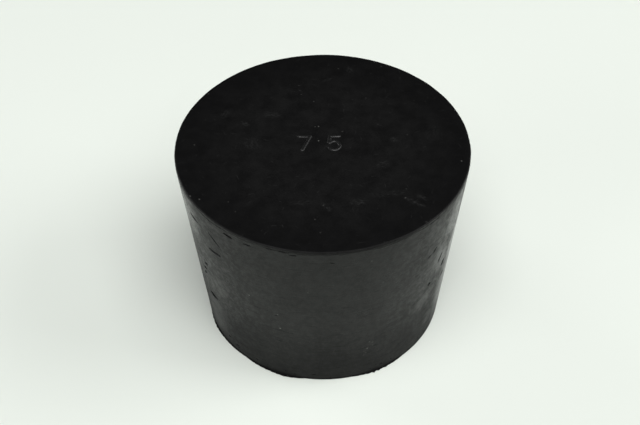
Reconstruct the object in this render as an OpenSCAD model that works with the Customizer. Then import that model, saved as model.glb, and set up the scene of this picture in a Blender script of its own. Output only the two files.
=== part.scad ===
// Solid tapered rubber stopper, moulded in one piece.
// It stands on its narrow end. The taper's axis is Z, and the origin is the middle of the narrow end.

/* [Taper] */
// Diameter across the wide end, where the taper would meet its flat face
wide_d = 75; // [30:0.5:120]
// Diameter across the narrow end, where the taper would meet its flat face
narrow_d = 65; // [25:0.5:115]
// Length between the two flat end faces
length = 55; // [20:0.5:100]

/* [Edges] */
// Radius that rounds the edge of the wide end
wide_edge_r = 0.3; // [0.2:0.1:3]
// Radius that rounds the edge of the narrow end
narrow_edge_r = 0.4; // [0.2:0.1:3]

/* [Colour] */
// Colour of the rubber
rubber_colour = "#1c1d1d"; // ["#1c1d1d", "#7a2b22", "#d9d6cc"]

/* [Hidden] */
$fn = 192;

// Lean of the side away from the axis
lean = atan2((wide_d - narrow_d) / 2, length);

// Outward directions of the side and of the two end faces, in the section
side_out = [cos(lean), -sin(lean)];
wide_out = [0, 1];
narrow_out = [0, -1];

// Centre of an edge's arc that lies at height z and touches the side from within
function edge_centre(z, r) = [(narrow_d / 2) + (z * sin(lean) - r) / cos(lean), z];

wide_centre = edge_centre(length - wide_edge_r, wide_edge_r);
narrow_centre = edge_centre(narrow_edge_r, narrow_edge_r);

// The arcs are set out this far, so that they cross the side cleanly and leave no sliver where they touch it
lap = [0.001, 0];

// Half section: straight faces between the points where the edge arcs begin and end, and the arcs themselves
module half_section() {
    polygon([
        [0, 0],
        narrow_centre + lap + narrow_edge_r * narrow_out,
        narrow_centre + narrow_edge_r * side_out,
        wide_centre + wide_edge_r * side_out,
        wide_centre + lap + wide_edge_r * wide_out,
        [0, length]
    ]);
    translate(narrow_centre + lap) circle(narrow_edge_r);
    translate(wide_centre + lap) circle(wide_edge_r);
}

module stopper() {
    color(rubber_colour)
        rotate_extrude()
            half_section();
}

stopper();
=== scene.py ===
import math
import random
import bmesh
import bpy
from mathutils import Matrix, Quaternion, Vector, noise


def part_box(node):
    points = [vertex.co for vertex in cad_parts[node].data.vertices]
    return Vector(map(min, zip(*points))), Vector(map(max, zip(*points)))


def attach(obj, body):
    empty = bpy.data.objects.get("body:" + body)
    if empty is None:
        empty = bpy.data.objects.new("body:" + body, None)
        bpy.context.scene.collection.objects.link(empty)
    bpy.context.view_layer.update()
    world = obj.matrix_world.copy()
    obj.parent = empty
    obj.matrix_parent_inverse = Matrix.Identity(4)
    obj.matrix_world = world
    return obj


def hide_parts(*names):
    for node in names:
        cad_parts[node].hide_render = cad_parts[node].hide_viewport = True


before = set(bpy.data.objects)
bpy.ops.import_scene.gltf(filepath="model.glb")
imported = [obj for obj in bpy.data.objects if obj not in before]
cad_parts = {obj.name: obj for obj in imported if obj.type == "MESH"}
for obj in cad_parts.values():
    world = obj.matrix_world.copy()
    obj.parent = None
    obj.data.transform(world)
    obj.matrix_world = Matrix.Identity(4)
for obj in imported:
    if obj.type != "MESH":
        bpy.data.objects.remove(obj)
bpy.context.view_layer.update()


# The stopper's body
# One solid moulding of black rubber, tapered so that it wedges in the round neck of a bottle or flask.
# It was pressed in a deep round cavity under a flat cover plate, so its ends are flat and its edges
# are only just rounded.

low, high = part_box("stopper")
length = high.z - low.z
wide_radius = 0.0375
narrow_radius = 0.0325
wide_edge_radius = 0.0003
narrow_edge_radius = 0.0004
edge_steps = 6
lean = math.atan2(wide_radius - narrow_radius, length)
points_round = 720
side_rings = 80
hair = 0.000001


def pick(kind, fits):
    """Selects, in edit mode, only the edges or faces that have every corner where fits says."""
    bpy.ops.mesh.select_mode(type=kind)
    bpy.ops.mesh.select_all(action="DESELECT")
    mesh = bmesh.from_edit_mesh(bpy.context.object.data)
    parts = mesh.edges if kind == "EDGE" else mesh.faces
    for part in parts:
        if all(fits(corner.co) for corner in part.verts):
            part.select_set(True)
    bmesh.update_edit_mesh(bpy.context.object.data)


def round_edge(height, radius, corner_angle):
    """Rounds the ring of edges at one height, where two faces meet at corner_angle."""
    pick("EDGE", lambda place: abs(place.z - height) < hair)
    run = radius / math.tan(corner_angle / 2)
    bpy.ops.mesh.bevel(offset_type="OFFSET", offset=run, segments=edge_steps, profile=0.5, affect="EDGES")


bpy.ops.object.select_all(action="DESELECT")
bpy.ops.mesh.primitive_cone_add(
    vertices=points_round,
    radius1=narrow_radius,
    radius2=wide_radius,
    depth=length,
    end_fill_type="NGON",
    location=(0, 0, low.z + length / 2),
)
stopper = bpy.context.object
stopper.name = "rubber_stopper"
stopper.data.name = "rubber_stopper"
bpy.ops.object.transform_apply(location=True, rotation=True, scale=True)

bpy.ops.object.mode_set(mode="EDIT")
round_edge(high.z, wide_edge_radius, math.pi / 2 - lean)
round_edge(low.z, narrow_edge_radius, math.pi / 2 + lean)

# Rings down the side, so that it can carry the unevenness of the mould
bpy.ops.mesh.select_mode(type="EDGE")
bpy.ops.mesh.select_all(action="DESELECT")
mesh = bmesh.from_edit_mesh(stopper.data)
for edge in mesh.edges:
    if abs(edge.verts[0].co.z - edge.verts[1].co.z) > length / 2:
        edge.select_set(True)
bmesh.update_edit_mesh(stopper.data)
bpy.ops.mesh.subdivide(number_cuts=side_rings)

# Closer rings in the topmost stretch of the side, where the trimming knife ran
trim_rings = 4
trim_height = 0.0021
bpy.ops.mesh.select_all(action="DESELECT")
mesh = bmesh.from_edit_mesh(stopper.data)
for edge in mesh.edges:
    lower, upper = sorted(corner.co.z for corner in edge.verts)
    if lower > high.z - trim_height and upper - lower > length / (2 * side_rings):
        edge.select_set(True)
bmesh.update_edit_mesh(stopper.data)
bpy.ops.mesh.subdivide(number_cuts=trim_rings)

# Rings inside the rim of each end, so that the flat stays flat up to its rounded edge
end_ring_widths = (0.0003, 0.0012, 0.004)
for height in (high.z, low.z):
    pick("FACE", lambda place: abs(place.z - height) < hair)
    for width in end_ring_widths:
        bpy.ops.mesh.inset(thickness=width, depth=0)
bpy.ops.object.mode_set(mode="OBJECT")

# The cavity wasn't quite true: the side swells and dips by a few hundredths of a millimetre
swell_size = 0.009
swell_depth = 0.00009
swell_fade = 0.004
side = stopper.vertex_groups.new(name="side")
for vertex in stopper.data.vertices:
    from_end = min(high.z - vertex.co.z, vertex.co.z - low.z)
    share = min(1, max(0, from_end / swell_fade))
    side.add([vertex.index], share, "REPLACE")
swell_texture = bpy.data.textures.new("cavity_swell", "CLOUDS")
swell_texture.noise_scale = swell_size
swell_texture.noise_depth = 1
swell = stopper.modifiers.new("cavity_swell", "DISPLACE")
swell.texture = swell_texture
swell.texture_coords = "LOCAL"
swell.vertex_group = "side"
swell.strength = swell_depth
swell.mid_level = 0.5
bpy.ops.object.modifier_apply(modifier=swell.name)


# The flash
# A ragged lip of rubber that crept between the mould's plates at the narrow end.
# It was trimmed by hand, so it is left only in stretches: start, highest point and end in degrees
# round from the front, positive to the right, then its reach and its raggedness.

flash_stretches = (
    (-76, -64, -38, 0.00045, 0.35),
    (-42, -19, -9, 0.00066, 0.22),
    (13, 25, 41, 0.00050, 1.0),
    (96, 104, 121, 0.00040, 0.9),
    (158, 165, 168, 0.00030, 0.9),
    (-141, -128, -119, 0.00045, 0.7),
)
flash_height = 0.00045
flash_tooth = 1.3
flash_pointedness = 0.75
flash_taper = 0.5


def flash_reach(angle):
    """How far the flash stands out at an angle round from the front."""
    reach = 0
    for start, highest, end, most, raggedness in flash_stretches:
        if not start < angle < end:
            continue
        if angle < highest:
            rise = (angle - start) / (highest - start)
        else:
            rise = (end - angle) / (end - highest)
        notch = noise.noise(Vector((angle / flash_tooth, most / flash_height, 0)))
        reach = max(reach, most * rise ** flash_pointedness * (1 + raggedness * notch))
    return reach


for vertex in stopper.data.vertices:
    above_end = vertex.co.z - low.z
    if above_end > flash_height:
        continue
    around = vertex.co.xy
    if around.length < narrow_radius - 2 * narrow_edge_radius:
        continue
    angle = math.degrees(math.atan2(around.x, -around.y))
    share = min(1, (1 - above_end / flash_height) / flash_taper)
    moved = around + around.normalized() * flash_reach(angle) * share
    vertex.co.x, vertex.co.y = moved

# At the wide end the flash was shaved off, which left a shallow ragged band round the edge
shave_depth = 0.00009
shave_reach = 0.00080
shave_wander = 0.00035
shave_run = 9
shave_tooth = 1.7
shave_cover = 0.8
shave_unevenness = 0.6
for vertex in stopper.data.vertices:
    around = vertex.co.xy
    under = high.z - vertex.co.z
    if around.length < wide_radius - 3 * wide_edge_radius:
        continue
    degrees_round = math.degrees(1) * around.normalized().to_3d()
    run = noise.noise(degrees_round / shave_run)
    teeth = noise.noise(degrees_round / shave_tooth)
    if under > shave_reach + shave_wander * (run + teeth):
        continue
    cover = min(1, max(0, shave_cover + run))
    cut = shave_depth * cover * (1 + shave_unevenness * teeth)
    vertex.co.x, vertex.co.y = around - around.normalized() * cut


# The number
# A plain moulded number in the middle of the wide end, the diameter there in millimetres.
# It was cut in the mould's cover plate with a ball-nosed cutter, so its strokes stand up with rounded
# backs and rounded ends.

cutter_radius = 0.00058
number_rise = 0.00038
digit_half_width = 0.0014
digit_half_height = 0.0026
digit_step = 0.0075
number_middle = Vector((-0.0008, 0.0005, high.z + number_rise - cutter_radius))
bow_points = 24


def bow(middle, reach, start, end):
    """Points along part of an ellipse, from one angle to another in degrees."""
    x, y = middle
    across, up = reach
    span = end - start
    turns = [math.radians(start + span * step / bow_points) for step in range(bow_points + 1)]
    return [(x + across * math.cos(turn), y + up * math.sin(turn)) for turn in turns]


# The strokes of each digit run along points in shares of its half width and half height
seven = (
    ((-1.0, 1.0), (1.0, 1.0)),
    ((0.92, 0.89), (-0.42, -1.0)),
)
five = (
    ((0.92, 1.0), (-0.76, 1.0)),
    ((-0.80, 0.89), (-0.93, 0.12)),
    bow((0, -0.36), (1.0, 0.64), 142, -148),
)


def cut_stroke(middle, points):
    """The ridge that one stroke of the cutter gives, with the round of the ball at both ends."""
    path = [middle + Vector((x * digit_half_width, y * digit_half_height, 0)) for x, y in points]
    start_way = (path[0] - path[1]).normalized() * cutter_radius
    end_way = (path[-1] - path[-2]).normalized() * cutter_radius
    ball = [math.radians(turn) for turn in range(84, 0, -14)]
    knots = [(path[0] + start_way * math.sin(turn), math.cos(turn)) for turn in ball]
    knots += [(place, 1) for place in path]
    knots += [(path[-1] + end_way * math.sin(turn), math.cos(turn)) for turn in reversed(ball)]
    curve = bpy.data.curves.new("stroke", "CURVE")
    curve.dimensions = "3D"
    curve.bevel_depth = cutter_radius
    curve.bevel_resolution = 10
    curve.use_fill_caps = True
    line = curve.splines.new("POLY")
    line.points.add(len(knots) - 1)
    for knot, (place, share) in zip(line.points, knots):
        knot.co = (*place, 1)
        knot.radius = share
    ridge = bpy.data.objects.new("stroke", curve)
    bpy.context.scene.collection.objects.link(ridge)
    bpy.ops.object.select_all(action="DESELECT")
    bpy.context.view_layer.objects.active = ridge
    ridge.select_set(True)
    bpy.ops.object.convert(target="MESH")
    bpy.ops.object.mode_set(mode="EDIT")
    bpy.ops.mesh.select_all(action="SELECT")
    bpy.ops.mesh.remove_doubles(threshold=hair)
    bpy.ops.mesh.normals_make_consistent(inside=False)
    bpy.ops.object.mode_set(mode="OBJECT")
    return bpy.context.object


def combine(body, operation, tool):
    """Joins a tool to a body, or cuts it out of the body, and removes the tool."""
    bpy.ops.object.select_all(action="DESELECT")
    bpy.context.view_layer.objects.active = body
    body.select_set(True)
    step = body.modifiers.new("step", "BOOLEAN")
    step.operation = operation
    step.solver = "EXACT"
    step.object = tool
    bpy.ops.object.modifier_apply(modifier=step.name)
    bpy.data.objects.remove(tool)


for strokes, side_step in ((seven, -digit_step / 2), (five, digit_step / 2)):
    middle = number_middle + Vector((side_step, 0, 0))
    digit = cut_stroke(middle, strokes[0])
    for points in strokes[1:]:
        combine(digit, "UNION", cut_stroke(middle, points))
    combine(stopper, "UNION", digit)


# Nicks and pits
# Small cuts and flow marks in the rubber, mostly along the mould's turning marks.
# Each has its angle round from the front, its height, its length, its slope and its width, and its
# depth goes with its width.

nicks = (
    (-59.8, 0.0477, 0.0046, 0, 0.00095),
    (-37.3, 0.0528, 0.0030, -4, 0.00095),
    (-45.9, 0.0468, 0.0050, -38, 0.00060),
    (-47.5, 0.0415, 0.0054, 7, 0.00115),
    (-57.8, 0.0182, 0.0044, 8, 0.00145),
    (-58.0, 0.0312, 0.0022, 30, 0.00100),
    (-60.0, 0.0284, 0.0020, 20, 0.00095),
    (-61.5, 0.0258, 0.0018, 35, 0.00085),
    (-28.6, 0.0529, 0.0022, 6, 0.00060),
    (46.6, 0.0398, 0.0014, 20, 0.00060),
    (50.0, 0.0408, 0.0022, 50, 0.00065),
    (56.4, 0.0342, 0.0034, 60, 0.00085),
    (60.8, 0.0296, 0.0026, 60, 0.00115),
    (64.0, 0.0233, 0.0018, 60, 0.00100),
    (51.1, 0.0264, 0.0012, 30, 0.00105),
    (-20.0, 0.0272, 0.0010, 0, 0.00035),
    (-24.6, 0.05478, 0.0022, 2, 0.00026),
    (-20.5, 0.05470, 0.0026, -2, 0.00030),
    (-15.4, 0.05474, 0.0030, 1, 0.00028),
    (-9.0, 0.05468, 0.0038, -1, 0.00030),
    (-19.5, 0.0541, 0.0018, 1, 0.00050),
    (-14.4, 0.0541, 0.0028, -1, 0.00050),
    (-10.7, 0.0534, 0.0019, 2, 0.00045),
    (3.0, 0.0512, 0.0018, -20, 0.00030),
    (17.5, 0.05468, 0.0030, 1, 0.00026),
    (29.0, 0.05472, 0.0036, -1, 0.00028),
    (41.0, 0.0545, 0.0024, 3, 0.00030),
    (-50.7, 0.0043, 0.0012, 10, 0.00055),
    (-45.1, 0.0033, 0.0013, 20, 0.00060),
    (128.0, 0.0410, 0.0036, 5, 0.00055),
    (-104.0, 0.0350, 0.0030, -30, 0.00050),
    (-150.0, 0.0290, 0.0044, -6, 0.00055),
    (171.0, 0.0180, 0.0012, 40, 0.00060),
)
nick_depth = 0.4
nick_raggedness = 0.35
nick_lumps = 2
to_mm = 1000

# Where the flash was trimmed, the knife left a broken row of small marks just above the narrow edge
knife_marks = 46
knife_step = 360 / knife_marks
knife_wander = (0.2, 0.8)
knife_heights = (0.0010, 0.0026)
knife_lengths = (0.0006, 0.0016)
knife_slopes = (-14, 14)
knife_width = 0.00038
knife = random.Random(5)
for mark in range(knife_marks):
    angle = knife_step * (mark + knife.uniform(*knife_wander)) - 180
    height = knife.uniform(*knife_heights)
    mark_length = knife.uniform(*knife_lengths)
    slope = knife.uniform(*knife_slopes)
    nicks += ((angle, height, mark_length, slope, knife_width),)


def side_place(angle, height):
    """The point at an angle and height on the side or the wide edge, and the way out from there."""
    turn = math.radians(angle)
    level = Vector((math.sin(turn), -math.cos(turn), 0))
    radius = narrow_radius + height * math.tan(lean)
    tilt = -lean
    round_middle = length - wide_edge_radius
    if height > round_middle:
        tilt = math.asin((height - round_middle) / wide_edge_radius)
        inner_radius = narrow_radius + (round_middle * math.sin(lean) - wide_edge_radius) / math.cos(lean)
        radius = inner_radius + wide_edge_radius * math.cos(tilt)
    outward = level * math.cos(tilt) + Vector((0, 0, math.sin(tilt)))
    return level * radius + Vector((0, 0, low.z + height)), outward


bpy.ops.object.select_all(action="DESELECT")
cutters = []
for angle, height, nick_length, slope, width in nicks:
    place, outward = side_place(angle, height)
    along = Vector((0, 0, 1)).cross(outward).normalized()
    along.rotate(Quaternion(outward, math.radians(slope)))
    across = outward.cross(along)
    bpy.ops.mesh.primitive_uv_sphere_add(segments=24, ring_count=10, radius=1)
    cutter = bpy.context.object
    own_lumps = Vector((angle, to_mm * height, 0))
    for vertex in cutter.data.vertices:
        lump = noise.noise(nick_lumps * vertex.co + own_lumps)
        vertex.co *= 1 + nick_raggedness * lump
    turned = Matrix((along, across, outward)).transposed().to_4x4()
    sized = Matrix.Diagonal((nick_length / 2, width / 2, nick_depth * width, 1))
    cutter.data.transform(Matrix.Translation(place) @ turned @ sized)
    cutters.append(cutter)
bpy.ops.object.select_all(action="DESELECT")
for cutter in cutters:
    cutter.select_set(True)
bpy.context.view_layer.objects.active = cutters[0]
bpy.ops.object.join()
combine(stopper, "DIFFERENCE", cutters[0])

# The cuts can leave faces with no area, which are taken out. Corners sharper than this stay sharp.
sharp_corner = 40
bpy.ops.object.mode_set(mode="EDIT")
bpy.ops.mesh.select_all(action="SELECT")
bpy.ops.mesh.dissolve_degenerate(threshold=hair / 10)
bpy.ops.object.mode_set(mode="OBJECT")
bpy.ops.object.shade_smooth_by_angle(angle=math.radians(sharp_corner))


# The rubber
# Natural rubber filled with carbon black: satin where it lay against the cavity's wall, duller on the
# flat ends. It has a faint bloom of wax, and carries rubbed patches, scuffs and dust from use.

rubber_black = (0.0020, 0.0020, 0.0021, 1)
bloom_grey = (0.0069, 0.0069, 0.0068, 1)
scuff_grey = (0.036, 0.037, 0.036, 1)
dust_white = (0.15, 0.15, 0.14, 1)


def plug(tree, socket, value):
    """Gives a node's input a fixed value, or links it to the output that feeds it."""
    if isinstance(value, bpy.types.NodeSocket):
        tree.links.new(value, socket)
    else:
        socket.default_value = value


def reckon(tree, operation, first, second=0):
    """A sum, a product or another step on two values."""
    step = tree.nodes.new("ShaderNodeMath")
    step.operation = operation
    plug(tree, step.inputs[0], first)
    plug(tree, step.inputs[1], second)
    return step.outputs["Value"]


def add_share(tree, value, mask, share):
    """Adds a share of a mask to a value, or takes it away if the share is negative."""
    return reckon(tree, "ADD", value, reckon(tree, "MULTIPLY", mask, share))


def stronger(tree, mask, other, share):
    """A mask, or a share of another one where that is stronger."""
    return reckon(tree, "MAXIMUM", mask, reckon(tree, "MULTIPLY", other, share))


def fade(tree, value, start, end, first=0, last=1):
    """Goes smoothly from the first result to the last as a value goes from start to end."""
    step = tree.nodes.new("ShaderNodeMapRange")
    step.interpolation_type = "SMOOTHSTEP"
    plug(tree, step.inputs["Value"], value)
    plug(tree, step.inputs["From Min"], start)
    plug(tree, step.inputs["From Max"], end)
    plug(tree, step.inputs["To Min"], first)
    plug(tree, step.inputs["To Max"], last)
    return step.outputs["Result"]


def stretch(tree, place, factors):
    """Scales a place along each axis."""
    step = tree.nodes.new("ShaderNodeVectorMath")
    step.operation = "MULTIPLY"
    plug(tree, step.inputs[0], place)
    plug(tree, step.inputs[1], factors)
    return step.outputs["Vector"]


def cloud(tree, place, scale, detail, raggedness=0.5):
    """Cloudy noise, with scale clouds to a millimetre."""
    step = tree.nodes.new("ShaderNodeTexNoise")
    plug(tree, step.inputs["Vector"], place)
    plug(tree, step.inputs["Scale"], scale)
    plug(tree, step.inputs["Detail"], detail)
    plug(tree, step.inputs["Roughness"], raggedness)
    return step.outputs["Fac"]


def warp(tree, place, scale, reach):
    """Shifts a place about at random, so that what is drawn there isn't quite even."""
    step = tree.nodes.new("ShaderNodeTexNoise")
    plug(tree, step.inputs["Vector"], place)
    plug(tree, step.inputs["Scale"], scale)
    plug(tree, step.inputs["Detail"], 2)
    shift = tree.nodes.new("ShaderNodeVectorMath")
    shift.operation = "MULTIPLY_ADD"
    plug(tree, shift.inputs[0], step.outputs["Color"])
    plug(tree, shift.inputs[1], (reach, reach, reach))
    plug(tree, shift.inputs[2], place)
    return shift.outputs["Vector"]


def tint(tree, mask, under, over):
    """Lays one colour over another where the mask is white."""
    step = tree.nodes.new("ShaderNodeMix")
    step.data_type = "RGBA"
    plug(tree, step.inputs["Factor"], mask)
    plug(tree, step.inputs[6], under)
    plug(tree, step.inputs[7], over)
    return step.outputs[2]


def new_group(name, inputs, outputs):
    """An empty node group, with the sockets that lead into it and out of it."""
    group = bpy.data.node_groups.new(name, "ShaderNodeTree")
    for title, kind in inputs:
        group.interface.new_socket(name=title, in_out="INPUT", socket_type="NodeSocket" + kind)
    for title, kind in outputs:
        group.interface.new_socket(name=title, in_out="OUTPUT", socket_type="NodeSocket" + kind)
    return group, group.nodes.new("NodeGroupInput").outputs, group.nodes.new("NodeGroupOutput").inputs


def put_group(tree, group, **values):
    """Places a node group in a material with its own values."""
    node = tree.nodes.new("ShaderNodeGroup")
    node.node_tree = group
    for title, value in values.items():
        plug(tree, node.inputs[title], value)
    return node.outputs


# Bloom lies in clouds, and the grain is the fine tooth of the mould's steel
bloom, given, result = new_group(
    "bloom",
    (("Place", "Vector"), ("Scale", "Float")),
    (("Bloom", "Float"), ("Grain", "Float")),
)
clouds = cloud(bloom, given["Place"], given["Scale"], detail=8, raggedness=0.7)
plug(bloom, result["Bloom"], fade(bloom, clouds, start=0.30, end=0.70))
plug(bloom, result["Grain"], cloud(bloom, given["Place"], scale=2.6, detail=3, raggedness=0.6))

# Dust is caught here and there: few of the cells hold a speck, and each speck has its own size
dust, given, result = new_group("dust", (("Place", "Vector"), ("Scale", "Float")), (("Dust", "Float"),))
cells = dust.nodes.new("ShaderNodeTexVoronoi")
plug(dust, cells.inputs["Vector"], warp(dust, given["Place"], scale=2.2, reach=0.9))
plug(dust, cells.inputs["Scale"], given["Scale"])
chance = dust.nodes.new("ShaderNodeSeparateColor")
plug(dust, chance.inputs["Color"], cells.outputs["Color"])
speck_reach = fade(dust, chance.outputs["Red"], start=0.72, end=1.0, first=0, last=0.10)
beyond = reckon(dust, "SUBTRACT", cells.outputs["Distance"], speck_reach)
plug(dust, result["Dust"], fade(dust, beyond, start=0, end=-0.03))

# A speck is one grain of dust at a given place, with a ragged outline
speck_raggedness = 0.5
speck, given, result = new_group(
    "speck",
    (("Place", "Vector"), ("Centre", "Vector"), ("Radius", "Float")),
    (("Speck", "Float"),),
)
apart = speck.nodes.new("ShaderNodeVectorMath")
apart.operation = "DISTANCE"
plug(speck, apart.inputs[0], given["Place"])
plug(speck, apart.inputs[1], given["Centre"])
ragged = cloud(speck, given["Place"], scale=4.0, detail=3, raggedness=0.6)
spread = add_share(speck, apart.outputs["Value"], ragged, speck_raggedness)
spread = reckon(speck, "SUBTRACT", spread, speck_raggedness / 2)
plug(speck, result["Speck"], fade(speck, spread, start=given["Radius"], end=0))

# A scuff is a ragged rubbed patch, drawn out along its length, and its spread is the same patch unbroken
fibre_draw = (0.8, 2.6, 2.6)
scuff, given, result = new_group(
    "scuff",
    (("Place", "Vector"), ("Centre", "Vector"), ("Turn", "Vector"), ("Size", "Vector")),
    (("Scuff", "Float"), ("Spread", "Float")),
)
local = scuff.nodes.new("ShaderNodeMapping")
local.vector_type = "TEXTURE"
plug(scuff, local.inputs["Vector"], given["Place"])
plug(scuff, local.inputs["Location"], given["Centre"])
plug(scuff, local.inputs["Rotation"], given["Turn"])
plug(scuff, local.inputs["Scale"], given["Size"])
from_centre = scuff.nodes.new("ShaderNodeVectorMath")
from_centre.operation = "LENGTH"
plug(scuff, from_centre.inputs[0], local.outputs["Vector"])
drawn = stretch(scuff, local.outputs["Vector"], given["Size"])
shifted = scuff.nodes.new("ShaderNodeVectorMath")
shifted.operation = "ADD"
plug(scuff, shifted.inputs[0], drawn)
plug(scuff, shifted.inputs[1], given["Centre"])
along_fibres = stretch(scuff, shifted.outputs["Vector"], fibre_draw)
fibres = cloud(scuff, along_fibres, scale=1.4, detail=5, raggedness=0.7)
broken = fade(scuff, fibres, start=0.44, end=0.68)
spread = fade(scuff, from_centre.outputs["Value"], start=1.0, end=0.2)
plug(scuff, result["Scuff"], reckon(scuff, "MULTIPLY", spread, broken))
plug(scuff, result["Spread"], spread)

# A hairline is a short, slightly bent scratch: some of the cells hold one, and each lies its own way
hairline, given, result = new_group(
    "hairline",
    (("Place", "Vector"), ("Scale", "Float"), ("Reach", "Float"), ("Width", "Float")),
    (("Hairline", "Float"),),
)
bent = warp(hairline, given["Place"], scale=0.6, reach=1.2)
cells = hairline.nodes.new("ShaderNodeTexVoronoi")
plug(hairline, cells.inputs["Vector"], bent)
plug(hairline, cells.inputs["Scale"], given["Scale"])
chance = hairline.nodes.new("ShaderNodeSeparateColor")
plug(hairline, chance.inputs["Color"], cells.outputs["Color"])
apart = hairline.nodes.new("ShaderNodeVectorMath")
apart.operation = "SUBTRACT"
plug(hairline, apart.inputs[0], bent)
plug(hairline, apart.inputs[1], cells.outputs["Position"])
lying = hairline.nodes.new("ShaderNodeVectorRotate")
lying.rotation_type = "Z_AXIS"
plug(hairline, lying.inputs["Vector"], apart.outputs["Vector"])
plug(hairline, lying.inputs["Angle"], reckon(hairline, "MULTIPLY", chance.outputs["Red"], math.tau))
ways = hairline.nodes.new("ShaderNodeSeparateXYZ")
plug(hairline, ways.inputs["Vector"], lying.outputs["Vector"])
reach = reckon(hairline, "MULTIPLY", given["Reach"], chance.outputs["Blue"])
along = reckon(hairline, "ABSOLUTE", ways.outputs["X"])
aside = reckon(hairline, "ABSOLUTE", ways.outputs["Y"])
length_share = fade(hairline, along, start=reach, end=0)
width_share = fade(hairline, aside, start=given["Width"], end=0)
held = fade(hairline, chance.outputs["Green"], start=0.4, end=1.0)
line = reckon(hairline, "MULTIPLY", reckon(hairline, "MULTIPLY", length_share, width_share), held)
plug(hairline, result["Hairline"], line)


def rubber_surface(name, bloom_scale, dust_scale, gloss):
    """A new rubber material, its place in millimetres, and what the shared groups give there."""
    material = bpy.data.materials.new(name)
    material.use_nodes = True
    tree = material.node_tree
    coordinates = tree.nodes.new("ShaderNodeTexCoord")
    place = stretch(tree, coordinates.outputs["Object"], (to_mm, to_mm, to_mm))
    film = put_group(tree, bloom, Place=place, Scale=bloom_scale)
    grit = put_group(tree, dust, Place=place, Scale=dust_scale)
    tree.nodes["Principled BSDF"].inputs["Specular IOR Level"].default_value = gloss
    return material, place, film, grit


def rubbing(tree, place, patches, form):
    """The mask of all the rubbed patches that lie at chosen places, broken or unbroken as form says."""
    mask = 0
    for centre, turn, size, weight in patches:
        lie = (0, 0, math.radians(turn))
        mark = put_group(tree, scuff, Place=place, Centre=centre, Turn=lie, Size=size)
        mask = stronger(tree, mask, mark[form], weight)
    return mask


def specking(tree, place, specks):
    """The mask of all the specks of dust that lie at chosen places."""
    mask = 0
    for centre, radius, weight in specks:
        mark = put_group(tree, speck, Place=place, Centre=centre, Radius=radius)
        mask = stronger(tree, mask, mark["Speck"], weight)
    return mask


def tooth(tree, height, depth):
    """Gives the surface a fine relief, no deeper than depth."""
    relief = tree.nodes.new("ShaderNodeBump")
    plug(tree, relief.inputs["Height"], height)
    relief.inputs["Distance"].default_value = depth
    plug(tree, tree.nodes["Principled BSDF"].inputs["Normal"], relief.outputs["Normal"])


# The ends: the bloom's grey is painted thinner towards the rim, so each end is darker at its rim than in its
# middle: painted shade.
# A scuff has its middle in millimetres, its turn, how far it reaches each way, and its weight.
# A speck has its middle, its radius and its weight.
top = to_mm * high.z
foot = to_mm * low.z
end_scuffs = (
    ((8.4, -20.8, top), 8, (3.2, 1.8, 1), 0.55),
    ((22.2, -21.0, top), -32, (4.2, 0.9, 1), 0.65),
    ((16.5, -17.8, top), 8, (7.5, 1.6, 1), 0.30),
    ((23.8, -19.2, top), -30, (1.6, 1.0, 1), 0.55),
    ((0.8, -22.4, top), -55, (2.4, 1.0, 1), 0.55),
    ((-5.0, -20.8, top), 5, (4.4, 1.4, 1), 0.25),
    ((-20.0, 8.3, top), -35, (1.9, 1.1, 1), 0.60),
    ((-13.0, 11.6, top), -10, (3.4, 1.6, 1), 0.40),
    ((-18.0, 0.6, top), -50, (4.2, 3.0, 1), 0.30),
    ((18.1, 1.9, top), 30, (1.8, 1.6, 1), 0.45),
    ((7.3, 30.6, top), -60, (2.4, 1.4, 1), 0.45),
    ((1.4, 26.2, top), 25, (2.0, 0.7, 1), 0.55),
    ((-25.3, 12.4, top), 60, (2.8, 1.6, 1), 0.40),
    ((15.0, -7.4, top), 10, (2.6, 1.8, 1), 0.35),
    ((28.5, 5.0, top), 70, (5.0, 3.2, 1), 0.22),
    ((-9.0, -14.0, foot), 20, (9.0, 3.0, 1), 0.60),
    ((12.0, 5.0, foot), -35, (8.0, 2.4, 1), 0.50),
    ((-4.0, 19.0, foot), 70, (6.0, 2.0, 1), 0.55),
    ((20.0, -12.0, foot), 50, (5.0, 1.4, 1), 0.60),
)
end_specks = (
    ((-1.0, 7.1, top), 0.32, 0.46),
    ((-1.9, 6.9, top), 0.22, 0.30),
    ((-1.0, 1.5, top), 0.28, 0.80),
    ((-32.5, 0.2, top), 0.28, 0.30),
    ((-32.2, -18.4, top), 0.32, 0.90),
    ((-29.8, -19.5, top), 0.30, 0.60),
    ((-22.8, -20.4, top), 0.26, 0.22),
    ((-1.9, -26.5, top), 0.30, 0.22),
    ((34.6, -6.4, top), 0.34, 0.45),
    ((-30.3, 20.6, top), 0.30, 0.40),
    ((4.4, 31.0, top), 0.26, 0.25),
    ((-2.3, 17.1, top), 0.24, 0.32),
    ((-5.6, 20.1, top), 0.24, 0.20),
    ((0.1, -21.8, top), 0.32, 0.20),
    ((19.9, -19.4, top), 0.32, 0.30),
    ((20.3, -16.3, top), 0.24, 0.20),
    ((14.3, 7.8, top), 0.24, 0.18),
    ((11.5, 18.4, top), 0.24, 0.18),
    ((-20.9, -23.8, top), 0.28, 0.17),
)
end_rubber, place, film, grit = rubber_surface("end_rubber", bloom_scale=0.22, dust_scale=0.36, gloss=0.17)
tree = end_rubber.node_tree
shader = tree.nodes["Principled BSDF"]
rubbed = rubbing(tree, place, end_scuffs, "Scuff")
dusty = specking(tree, place, end_specks)
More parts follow.
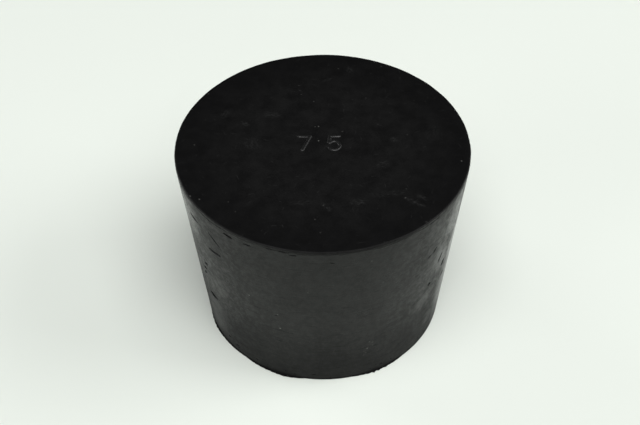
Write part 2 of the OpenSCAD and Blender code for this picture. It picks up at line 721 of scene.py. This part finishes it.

# Bloom on the ends, with painted shade towards the rim
painted_fade_rim = 37
painted_fade_middle = 20
end_film_least = 0.22
end_film_swing = 0.40
grain_in_film = 1.2
across = tree.nodes.new("ShaderNodeVectorMath")
across.operation = "LENGTH"
plug(tree, across.inputs[0], stretch(tree, place, (1, 1, 0)))
# Painted shade: the bloom fades out between these radii, leaving each end darker towards its rim
painted_rim_fade = fade(tree, across.outputs["Value"], start=painted_fade_rim, end=painted_fade_middle)
film_share = add_share(tree, end_film_least, film["Bloom"], end_film_swing)
film_share = reckon(tree, "MULTIPLY", film_share, painted_rim_fade)
grain = reckon(tree, "SUBTRACT", film["Grain"], 0.5)
film_share = add_share(tree, film_share, grain, grain_in_film)
colour = tint(tree, film_share, rubber_black, bloom_grey)

# Wear and dust on the ends: the number's backs are painted a little paler, partly as rubbed wear and partly
# as a painted highlight on the raised strokes
stroke_foot = 0.06
stroke_back = 0.30
stroke_wear_and_highlight = 0.06
end_scratching = 0.5
dusting = 0.12
height = tree.nodes.new("ShaderNodeSeparateXYZ")
plug(tree, height.inputs["Vector"], place)
raised = fade(tree, height.outputs["Z"], start=top + stroke_foot, end=top + stroke_back)
# Paler grey on the raised strokes: part wear, part painted highlight
rubbed = stronger(tree, rubbed, raised, stroke_wear_and_highlight)
scratched = put_group(tree, hairline, Place=place, Scale=0.36, Reach=1.6, Width=0.07)
rubbed = stronger(tree, rubbed, scratched["Hairline"], end_scratching)
colour = tint(tree, rubbed, colour, scuff_grey)
dusty = stronger(tree, dusty, grit["Dust"], dusting)
colour = tint(tree, dusty, colour, dust_white)
plug(tree, shader.inputs["Base Color"], colour)

# Dullness of the ends: the number's backs have a worn shine
end_dullness = 0.46
film_dulling = 0.10
end_rub_dulling = 0.12
dull = add_share(tree, end_dullness, film["Bloom"], film_dulling)
dull = add_share(tree, dull, rubbed, end_rub_dulling)
plug(tree, shader.inputs["Roughness"], dull)
worn_shine = fade(tree, film["Grain"], start=0.35, end=0.60, first=0.2, last=0.6)
plug(tree, shader.inputs["Coat Weight"], reckon(tree, "MULTIPLY", raised, worn_shine))
shader.inputs["Coat Roughness"].default_value = 0.30
tooth(tree, film["Grain"], depth=0.00001)

# The side: burnished in patches where it was pushed and turned in a neck, with fine marks round it.
# Its scuffs, polished and shaved patches and specks are listed as on the ends, but on the side laid
# out flat.
middle_radius = to_mm * (wide_radius + narrow_radius) / 2


def unrolled(angle, height):
    """Where a point of the side lies when the side is laid out flat, in millimetres."""
    return (math.radians(angle) * middle_radius, height, 0)


side_scuffs = (
    (unrolled(20.6, 14.6), 20, (1.6, 0.9, 1), 1.00),
    (unrolled(19.2, 12.0), 70, (1.8, 0.8, 1), 0.90),
    (unrolled(18.4, 9.6), 50, (1.2, 0.6, 1), 0.80),
    (unrolled(-4, 40), 0, (7.0, 1.6, 1), 0.15),
    (unrolled(-49, 28), 60, (8.0, 3.6, 1), 0.30),
    (unrolled(-58, 8), 70, (6.0, 3.0, 1), 0.35),
    (unrolled(48, 22), 60, (5.0, 2.4, 1), 0.30),
    (unrolled(56, 8), 75, (4.6, 2.8, 1), 0.40),
    (unrolled(110, 33), 15, (7.0, 2.4, 1), 0.40),
    (unrolled(150, 12), 80, (6.0, 2.6, 1), 0.35),
    (unrolled(-115, 20), -20, (6.0, 2.6, 1), 0.40),
    (unrolled(-160, 44), 10, (7.0, 2.0, 1), 0.35),
)
side_polish = (
    (unrolled(-67, 46), 0, (9.0, 11.0, 1), 1.0),
    (unrolled(-49, 26), 60, (9.0, 5.0, 1), 0.45),
    (unrolled(-76, 40), 0, (4.5, 9.0, 1), 1.5),
    (unrolled(-58, 10), 70, (11.0, 8.0, 1), 1.0),
    (unrolled(64, 46), 0, (7.0, 10.0, 1), 1.0),
    (unrolled(57, 34), 20, (5.0, 8.0, 1), 1.0),
    (unrolled(71, 31), 0, (7.0, 15.0, 1), 1.3),
    (unrolled(70, 14), 0, (8.5, 17.0, 1), 1.9),
    (unrolled(49, 21), 40, (6.0, 3.6, 1), 0.8),
    (unrolled(58, 9), 60, (5.0, 4.0, 1), 0.7),
    (unrolled(104, 30), 10, (9.0, 12.0, 1), 0.9),
    (unrolled(142, 44), -20, (10.0, 7.0, 1), 0.8),
    (unrolled(176, 16), 30, (8.0, 9.0, 1), 0.8),
    (unrolled(-112, 36), 15, (9.0, 10.0, 1), 0.9),
    (unrolled(-150, 14), -35, (10.0, 6.0, 1), 0.8),
)
side_specks = (
    (unrolled(-31.5, 32.0), 0.30, 0.8),
    (unrolled(-19.2, 27.9), 0.26, 0.6),
    (unrolled(-18.6, 22.0), 0.36, 1.0),
    (unrolled(19.6, 12.4), 0.36, 0.60),
    (unrolled(20.4, 15.2), 0.34, 0.40),
    (unrolled(21.9, 14.6), 0.30, 0.40),
    (unrolled(22.2, 13.2), 0.28, 0.30),
    (unrolled(19.2, 10.4), 0.28, 0.35),
    (unrolled(18.2, 11.2), 0.24, 0.30),
    (unrolled(-6.0, 39.3), 0.22, 0.4),
    (unrolled(18.0, 49.8), 0.22, 0.5),
)
side_shaving = (
    (unrolled(10, 55), 0, (24.0, 4.0, 1), 1.0),
    (unrolled(115, 55), 0, (24.0, 4.0, 1), 0.9),
    (unrolled(-125, 55), 0, (27.0, 4.0, 1), 0.9),
    (unrolled(176, 55), 0, (12.0, 4.0, 1), 0.7),
)
side_rubber, place, film, grit = rubber_surface("side_rubber", bloom_scale=0.25, dust_scale=0.33, gloss=0.19)
tree = side_rubber.node_tree
shader = tree.nodes["Principled BSDF"]
axes = tree.nodes.new("ShaderNodeSeparateXYZ")
plug(tree, axes.inputs["Vector"], place)
backward = reckon(tree, "MULTIPLY", axes.outputs["Y"], -1)
turned = reckon(tree, "ARCTAN2", axes.outputs["X"], backward)
laid_out = tree.nodes.new("ShaderNodeCombineXYZ")
plug(tree, laid_out.inputs["X"], reckon(tree, "MULTIPLY", turned, middle_radius))
plug(tree, laid_out.inputs["Y"], axes.outputs["Z"])
flat = laid_out.outputs["Vector"]

# Wear and dust on the side
side_scratching = 0.4
rubbed = rubbing(tree, flat, side_scuffs, "Scuff")
scratched = put_group(tree, hairline, Place=flat, Scale=0.26, Reach=2.2, Width=0.08)
rubbed = stronger(tree, rubbed, scratched["Hairline"], side_scratching)
dusty = specking(tree, flat, side_specks)
dusty = stronger(tree, dusty, grit["Dust"], dusting)

# Bloom on the side: its grey is thinner low down, so the side is darker towards the bottom
low_down_top = 30
low_down_full = 4
side_film_least = 0.5
side_film_swing = 0.6
low_down = fade(tree, axes.outputs["Z"], start=foot + low_down_top, end=foot + low_down_full)
film_share = add_share(tree, side_film_least, film["Bloom"], side_film_swing)
# The side's colour is made darker towards the bottom: the bloom's grey thins to a quarter near the foot
kept_film = fade(tree, low_down, start=0, end=1, first=1.0, last=0.25)
film_share = reckon(tree, "MULTIPLY", film_share, kept_film)
grain = reckon(tree, "SUBTRACT", film["Grain"], 0.5)
film_share = add_share(tree, film_share, grain, grain_in_film)
colour = tint(tree, film_share, rubber_black, bloom_grey)
colour = tint(tree, rubbed, colour, scuff_grey)
colour = tint(tree, dusty, colour, dust_white)
plug(tree, shader.inputs["Base Color"], colour)

# Burnish and the marks that the mould was turned with
polish_in_burnish = 0.12
turning_draw = (0.14, 0.14, 1.9)
polished = rubbing(tree, flat, side_polish, "Spread")
mottling = cloud(tree, place, scale=0.60, detail=8, raggedness=0.75)
burnish = add_share(tree, mottling, polished, polish_in_burnish)
burnish = fade(tree, burnish, start=0.40, end=0.66)
kept_burnish = fade(tree, low_down, start=0, end=1, first=1.0, last=0.5)
burnish = reckon(tree, "MULTIPLY", burnish, kept_burnish)
turning = cloud(tree, stretch(tree, place, turning_draw), scale=1.0, detail=4, raggedness=0.6)
turning = fade(tree, turning, start=0.54, end=0.70)

# Dull edges: the shaved band under the wide end and the trimmed strip above the narrow one
shave_mottling = 1.6
shave_start = -0.10
shave_full = 0.25
shave_least = 0.2
strip_top = 1.3
strip_full = 0.3
ragged_height = add_share(tree, axes.outputs["Z"], mottling, shave_mottling)
shaved = fade(tree, ragged_height, start=top + shave_start, end=top + shave_full)
shaving = rubbing(tree, flat, side_shaving, "Spread")
shaved = reckon(tree, "MULTIPLY", shaved, reckon(tree, "MAXIMUM", shaving, shave_least))
trimmed = fade(tree, axes.outputs["Z"], start=foot + strip_top, end=foot + strip_full)
edge_wear = reckon(tree, "MAXIMUM", shaved, trimmed)

# Dullness of the side: each kind of use adds its own share or takes it away
side_dullness = 0.41
burnish_dulling = -0.18
handling_dulling = 0.18
low_down_dulling = 0.16
turning_dulling = 0.10
side_rub_dulling = 0.10
polish_dulling = -0.12
edge_dulling = 0.40
turning_in_relief = -0.6
handled = cloud(tree, place, scale=0.11, detail=3, raggedness=0.5)
dull = add_share(tree, side_dullness, burnish, burnish_dulling)
dull = add_share(tree, dull, handled, handling_dulling)
dull = add_share(tree, dull, low_down, low_down_dulling)
dull = add_share(tree, dull, turning, turning_dulling)
dull = add_share(tree, dull, rubbed, side_rub_dulling)
dull = add_share(tree, dull, polished, polish_dulling)
dull = add_share(tree, dull, edge_wear, edge_dulling)
plug(tree, shader.inputs["Roughness"], dull)
relief = add_share(tree, film["Grain"], turning, turning_in_relief)
tooth(tree, relief, depth=0.000024)

stopper.data.materials.clear()
stopper.data.materials.append(side_rubber)
stopper.data.materials.append(end_rubber)
for face in stopper.data.polygons:
    on_end = min(abs(face.center.z - high.z), abs(face.center.z - low.z)) < hair
    on_number = face.center.z > high.z
    face.material_index = 1 if on_end or on_number else 0

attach(stopper, "root")
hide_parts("stopper")


# The floor
# A plain sheet of pale paper under the stopper, with a faint green cast.
# It is quite dull, and it reaches well past the edges of the picture.

floor_size = 10.0
floor_colour = (0.80, 0.845, 0.785, 1)
bpy.ops.object.select_all(action="DESELECT")
bpy.ops.mesh.primitive_plane_add(size=floor_size, location=(0, 0, low.z))
floor = bpy.context.object
floor.name = "floor"
paper = bpy.data.materials.new("pale_paper")
paper.use_nodes = True
paper_shader = paper.node_tree.nodes["Principled BSDF"]
paper_shader.inputs["Base Color"].default_value = floor_colour
paper_shader.inputs["Roughness"].default_value = 0.9
paper_shader.inputs["Specular IOR Level"].default_value = 0.0
floor.data.materials.append(paper)


# The lights
# One broad soft box high in front of the stopper, and four weaker ones lower down on its left and right.
# The room straight behind stays dark, so that nothing glares on the wide end.

aim = Vector((0, 0, length / 2))
light_distance = 2.2
room_grey = (0.01, 0.01, 0.01, 1)


def soft_box(name, angle, elevation, size, power):
    """A square soft box that faces the stopper from an angle round from the front."""
    turn = math.radians(angle)
    rise = math.radians(elevation)
    way = Vector((math.sin(turn) * math.cos(rise), -math.cos(turn) * math.cos(rise), math.sin(rise)))
    light = bpy.data.lights.new(name, "AREA")
    light.shape = "SQUARE"
    light.size = size
    light.energy = power
    lamp = bpy.data.objects.new(name, light)
    lamp.location = aim + way * light_distance
    lamp.rotation_euler = way.to_track_quat("Z", "Y").to_euler()
    bpy.context.scene.collection.objects.link(lamp)


soft_box("front_light", angle=12, elevation=66, size=2.0, power=52)
soft_box("right_light", angle=88, elevation=36, size=1.1, power=16)
soft_box("left_light", angle=-60, elevation=18, size=1.1, power=7.5)
soft_box("back_right_light", angle=120, elevation=18, size=1.1, power=6)
soft_box("back_left_light", angle=-120, elevation=18, size=1.1, power=11)

world = bpy.data.worlds.new("dim_room")
world.use_nodes = True
world.node_tree.nodes["Background"].inputs["Color"].default_value = room_grey
bpy.context.scene.world = world
bpy.context.scene.view_settings.view_transform = "Standard"


# The camera
# It looks down at the stopper from the front, as one would at a part laid on a table.
# Its place, aim, lens and roll are those that fit the outline in the photograph.

camera_place = Vector((0, -0.21767, 0.24907))
camera_aim = Vector((-0.0008, 0, 0.0307))
camera_lens = 64.7
camera_roll = math.radians(-0.48)
lens = bpy.data.cameras.new("camera")
lens.lens = camera_lens
lens.sensor_width = 36
lens.clip_start = 0.01
camera = bpy.data.objects.new("camera", lens)
camera.location = camera_place
level = (camera_aim - camera_place).to_track_quat("-Z", "Y")
camera.rotation_euler = (level @ Quaternion((0, 0, 1), camera_roll)).to_euler()
bpy.context.scene.collection.objects.link(camera)
bpy.context.scene.camera = camera
